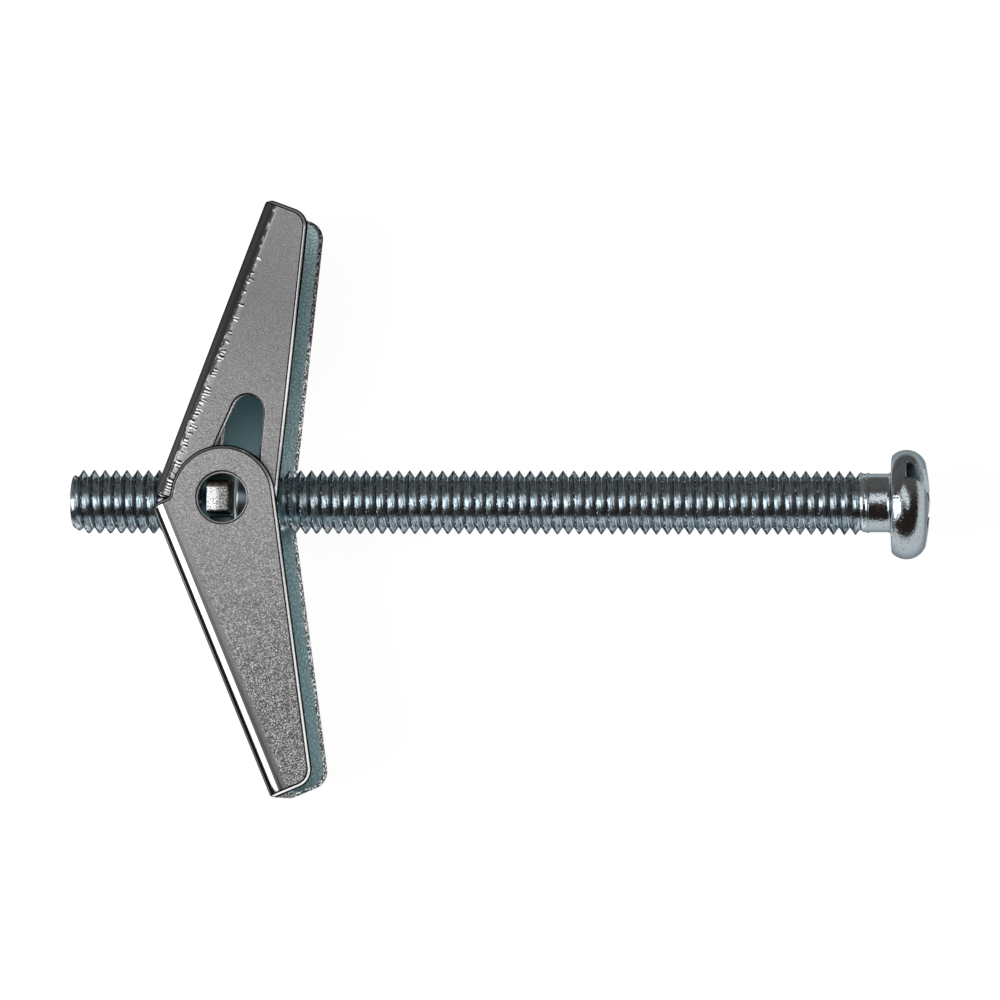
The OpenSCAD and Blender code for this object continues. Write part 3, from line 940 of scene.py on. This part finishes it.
upper_turn = Matrix.Rotation(math.radians(90 - upper_lean), 4, "Z") @ Matrix.Rotation(math.pi, 4, "X")
lower_turn = Matrix.Rotation(math.radians(lower_lean - 90), 4, "Z")
for wing_name, turn, score_share, ear_grain, tip_grain in (
    ("upper_wing", upper_turn, 0.85, 0.35, 0.12),
    ("lower_wing", lower_turn, 0.0, 0.35, 0.75),
):
    wing_made = wing_piece(wing_name + "_stamping", turn)
    wing_made.data.materials.append(wing_zinc(wing_name + "_zinc", score_share, ear_grain, tip_grain))
    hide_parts(wing_name)
    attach(wing_made, wing_name)

# Table and studio: a white table with raised edges that the bolt lies on, soft boxes above and to the
# left in a dim room, and three dark cards round the bolt that only reflections show.
table_half = 3.0
table_edge_h = 0.7
table_z = cad_low.z
table_bm = bmesh.new()
corners = [(x * table_half, y * table_half) for x, y in ((-1, -1), (1, -1), (1, 1), (-1, 1))]
floor_ring = [table_bm.verts.new((x, y, table_z)) for x, y in corners]
edge_ring = [table_bm.verts.new((x, y, table_z + table_edge_h)) for x, y in corners]
table_bm.faces.new(floor_ring)
for i in range(4):
    j = (i + 1) % 4
    table_bm.faces.new((floor_ring[i], floor_ring[j], edge_ring[j], edge_ring[i]))
table = new_piece("table", table_bm)


def table_white():
    """White to the camera and in reflections, with part of its light kept for the bolt's shadow."""
    glow_share = 0.8
    glow_strength = 1.18
    material = bpy.data.materials.new("table_white")
    material.use_nodes = True
    tree = material.node_tree
    tree.nodes.clear()
    path = add_node(tree, "LightPath").outputs
    seen = plus(tree, plus(tree, path["Is Camera Ray"], path["Is Glossy Ray"]), path["Is Transmission Ray"])
    seen = times(tree, math_of(tree, "MINIMUM", seen, 1.0), glow_share)
    cloth = add_node(tree, "BsdfDiffuse", {"Color": (0.9, 0.9, 0.9, 1)}).outputs[0]
    glow = add_node(tree, "Emission", {"Color": (1, 1, 1, 1), "Strength": glow_strength}).outputs[0]
    shown = add_node(tree, "MixShader", {0: seen, 1: cloth, 2: glow}).outputs[0]
    add_node(tree, "OutputMaterial", {"Surface": shown})
    return material


table.data.materials.append(table_white())


def dark_card(name, rows, tone):
    """A card along rows of two points each, with its heights over the table."""
    bm = bmesh.new()
    rows = [[bm.verts.new((x, y, table_z + z)) for x, y, z in row] for row in rows]
    for near_row, far_row in zip(rows, rows[1:]):
        bm.faces.new((*near_row, *far_row[::-1]))
    card = new_piece(name, bm)
    finish = bpy.data.materials.new(name)
    finish.use_nodes = True
    finish.node_tree.nodes.clear()
    glow = add_node(finish.node_tree, "Emission", {"Color": tone, "Strength": 1.0})
    add_node(finish.node_tree, "OutputMaterial", {"Surface": glow.outputs[0]})
    card.data.materials.append(finish)
    card.visible_camera = False
    card.visible_diffuse = False
    card.visible_shadow = False
    card.visible_transmission = False


# Each card's section starts at the near edge of the part that lies flat just over the table
card_grey = (0.18, 0.165, 0.16, 1)
card_black = (0.03, 0.03, 0.03, 1)
behind_section = ((15 * MM, 0.2 * MM), (36 * MM, 0.2 * MM), (60 * MM, 45 * MM))
left_section = ((-12 * MM, 0.3 * MM), (-52 * MM, 0.3 * MM), (-62 * MM, 30 * MM))
lower_section = ((24 * MM, 0.4 * MM), (60 * MM, 0.4 * MM), (70 * MM, 28 * MM))
behind_run = (-62 * MM, 110 * MM)
left_run = (5 * MM, 50 * MM)
lower_run = (-15 * MM, 60 * MM)
dark_card("card_behind", [[(x, y, z) for x in behind_run] for y, z in behind_section], card_grey)
dark_card("card_left", [[(x, y, z) for y in left_run] for x, z in left_section], card_grey)
# The third card lies along the lower wing's bend
dark_card("card_lower", [
    [(*wing_place(u, -web_out - off, lower_lean, -1), z) for u in lower_run] for off, z in lower_section
], card_black)

lamp_distance = 1.0


def soft_box(name, way, along, width, height, brightness):
    """A rectangular lamp that faces the bolt from a way, with its width along another;
    brightness is what a mirror would show of it."""
    lamp = bpy.data.lights.new(name, "AREA")
    lamp.shape = "RECTANGLE"
    lamp.size = width
    lamp.size_y = height
    lamp.energy = brightness * math.pi * width * height
    holder = bpy.data.objects.new(name, lamp)
    outward = Vector(way).normalized()
    side = (Vector(along) - outward * outward.dot(Vector(along))).normalized()
    holder.matrix_world = Matrix((side, outward.cross(side), outward)).transposed().to_4x4()
    holder.location = outward * lamp_distance
    bpy.context.scene.collection.objects.link(holder)


soft_box("overhead_box", way=(0.06, 0.23, 1), along=(0.748, -0.664, 0),
         width=0.93, height=0.37, brightness=1.45)
soft_box("left_box", way=(-0.72, -0.12, 0.672), along=(0.166, -0.986, 0),
         width=0.58, height=0.86, brightness=3.9)
soft_box("left_fill", way=(-0.3, -0.05, 0.95), along=(0.17, -0.985, 0),
         width=0.5, height=0.3, brightness=0.36)

room_dark = (0.036, 0.026, 0.022, 1)
room_dim = (0.15, 0.135, 0.125, 1)
room = bpy.data.worlds.new("room")
room.use_nodes = True
room_tree = room.node_tree
room_place = add_node(room_tree, "TexCoord").outputs["Generated"]
room_way = add_node(room_tree, "SeparateXYZ", {0: room_place}).outputs
# Dim towards +Y, past the upper wing, and dark elsewhere
room_colour = mixed(room_tree, in_range(room_tree, room_way[1], 0, 0.5), room_dark, room_dim)
room_tree.links.new(room_colour, room_tree.nodes["Background"].inputs["Color"])
bpy.context.scene.world = room
bpy.context.scene.view_settings.view_transform = "Standard"

# Camera: a long lens above the table, leaning a little to the head end and to the lower wing.
# It looks at a point close to the screw's axis, near the middle of the bolt.
aim = Vector((24.515, 0.209, 0)) * MM
lean_to_head = math.radians(5.611)
lean_to_lower = math.radians(3.467)
camera_roll = math.radians(0.431)
camera_distance = 507.4 * MM
view_width = 90.8 * MM
sensor_width = 36

to_camera = Vector((
    math.sin(lean_to_head) * math.cos(lean_to_lower),
    -math.sin(lean_to_lower),
    math.cos(lean_to_head) * math.cos(lean_to_lower),
))
level = Vector((math.cos(lean_to_head), 0, -math.sin(lean_to_head)))
upright = to_camera.cross(level)
right = level * math.cos(camera_roll) + upright * math.sin(camera_roll)
up = upright * math.cos(camera_roll) - level * math.sin(camera_roll)
lens = bpy.data.cameras.new("camera")
lens.sensor_width = sensor_width
lens.lens = sensor_width * camera_distance / view_width
lens.clip_start = 0.01
lens.clip_end = 20
camera = bpy.data.objects.new("camera", lens)
camera.matrix_world = Matrix((right, up, to_camera)).transposed().to_4x4()
camera.location = aim + to_camera * camera_distance
bpy.context.scene.collection.objects.link(camera)
bpy.context.scene.camera = camera
